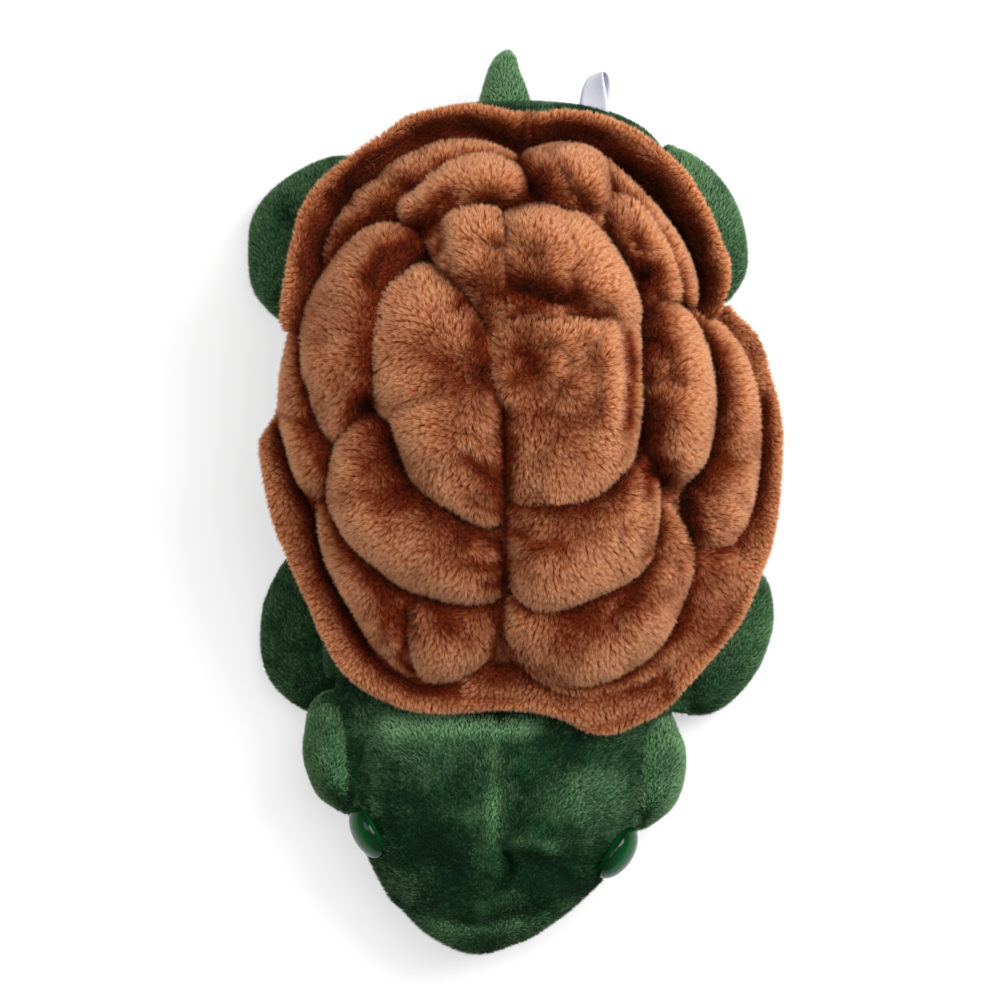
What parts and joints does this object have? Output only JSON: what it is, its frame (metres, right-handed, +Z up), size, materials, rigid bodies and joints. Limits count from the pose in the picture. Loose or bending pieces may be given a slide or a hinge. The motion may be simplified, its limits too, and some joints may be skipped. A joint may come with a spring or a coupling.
{
  "type": "turtle hand puppet",
  "caption": "Plush turtle glove puppet: quilted brown shell with a padded rim, stuffed green flippers and tail, and a head and lower jaw worked by the hand inside.",
  "frame": {"origin": "middle of the toy's footprint, on the surface it stands on", "axes": "+Z up, +Y towards the tail, -Y towards the head, +X to the toy's left side as it looks along -Y"},
  "size_m": [0.1746, 0.3012, 0.1022],
  "materials": {
    "shell_plush": "short fluffy pile, brushed",
    "body_plush": "short smooth pile",
    "mouth_cloth": "short smooth pile",
    "lining_cloth": "plain woven lining",
    "fibre_filling": "loose polyester fibre",
    "eye_plastic": "polished dome",
    "washer_plastic": "moulded",
    "label_tape": "woven satin tape, bare"
  },
  "bodies": {
    "body": {"belly_panel": "body_plush", "side_panel_left": "body_plush", "side_panel_right": "body_plush", "back_panel": "body_plush", "rump_panel": "body_plush", "pocket_lining": "lining_cloth", "pocket_hem": "lining_cloth", "shell_underside": "lining_cloth", "shell_filling": "fibre_filling", "crown_left_upper": "shell_plush", "crown_dome": "shell_plush", "crown_left_lower": "shell_plush", "crown_middle": "shell_plush", "crown_ridge": "shell_plush", "crown_roll": "shell_plush", "mid_left": "shell_plush", "mid_left_front": "shell_plush", "mid_right": "shell_plush", "mid_right_front": "shell_plush", "mid_rear_left": "shell_plush", "mid_rear_right": "shell_plush", "mid_right_rear": "shell_plush", "outer_left": "shell_plush", "outer_left_front": "shell_plush", "outer_front": "shell_plush", "outer_right_front": "shell_plush", "outer_right": "shell_plush", "outer_rear_left": "shell_plush", "outer_rear_right": "shell_plush", "rim_front": "shell_plush", "rim_rear_left": "shell_plush", "rim_rear_right": "shell_plush", "care_label": "label_tape"},
    "neck": {"neck_sleeve": "body_plush"},
    "head": {"head_collar": "body_plush", "head_crown": "body_plush", "eye_left": "eye_plastic", "eye_right": "eye_plastic", "eye_washer_left": "washer_plastic", "eye_washer_right": "washer_plastic", "mouth_roof": "mouth_cloth", "cheek_left": "body_plush", "cheek_right": "body_plush", "throat_panel": "body_plush"},
    "jaw": {"lower_jaw": "body_plush", "mouth_floor": "mouth_cloth"},
    "front_left_flipper": {"front_left_flipper_top": "body_plush", "front_left_flipper_bottom": "body_plush", "front_left_flipper_filling": "fibre_filling"},
    "front_right_flipper": {"front_right_flipper_top": "body_plush", "front_right_flipper_bottom": "body_plush", "front_right_flipper_filling": "fibre_filling"},
    "hind_left_flipper": {"hind_left_flipper_top": "body_plush", "hind_left_flipper_bottom": "body_plush", "hind_left_flipper_filling": "fibre_filling"},
    "hind_right_flipper": {"hind_right_flipper_top": "body_plush", "hind_right_flipper_bottom": "body_plush", "hind_right_flipper_filling": "fibre_filling"},
    "tail": {"tail_cover": "body_plush", "tail_filling": "fibre_filling"}
  },
  "joints": [
    {"name": "head_turn", "type": "hinge", "parent": "body", "child": "neck", "pos_m": [0, -0.05666, 0.025], "axis": [0, 0, 1], "range_deg": [-6.5, 17.5]},
    {"name": "head_nod", "type": "hinge", "parent": "neck", "child": "head", "pos_m": [0, -0.05666, 0.025], "axis": [0.9954, -0.0958, 0], "range_deg": [-12, 18]},
    {"name": "jaw_open", "type": "hinge", "parent": "head", "child": "jaw", "pos_m": [-0.00288, -0.08653, 0.026], "axis": [0.9954, -0.0958, 0], "range_deg": [0, 30]},
    {"name": "front_left_flap", "type": "hinge", "parent": "body", "child": "front_left_flipper", "pos_m": [-0.05951, -0.03602, 0.0115], "axis": [0, 1, 0], "range_deg": [-20, 20]},
    {"name": "front_right_flap", "type": "hinge", "parent": "body", "child": "front_right_flipper", "pos_m": [0.05951, -0.03602, 0.0115], "axis": [0, -1, 0], "range_deg": [-20, 20]},
    {"name": "hind_left_flap", "type": "hinge", "parent": "body", "child": "hind_left_flipper", "pos_m": [-0.05657, 0.08476, 0.0115], "axis": [0, 1, 0], "range_deg": [-20, 20]},
    {"name": "hind_right_flap", "type": "hinge", "parent": "body", "child": "hind_right_flipper", "pos_m": [0.05657, 0.08476, 0.0115], "axis": [0, -1, 0], "range_deg": [-20, 20]},
    {"name": "tail_wag", "type": "hinge", "parent": "body", "child": "tail", "pos_m": [-0.003, 0.13234, 0.02401], "axis": [0, 0, 1], "range_deg": [-20, 20], "stiffness_Nm_per_rad": 0.002}
  ]
}
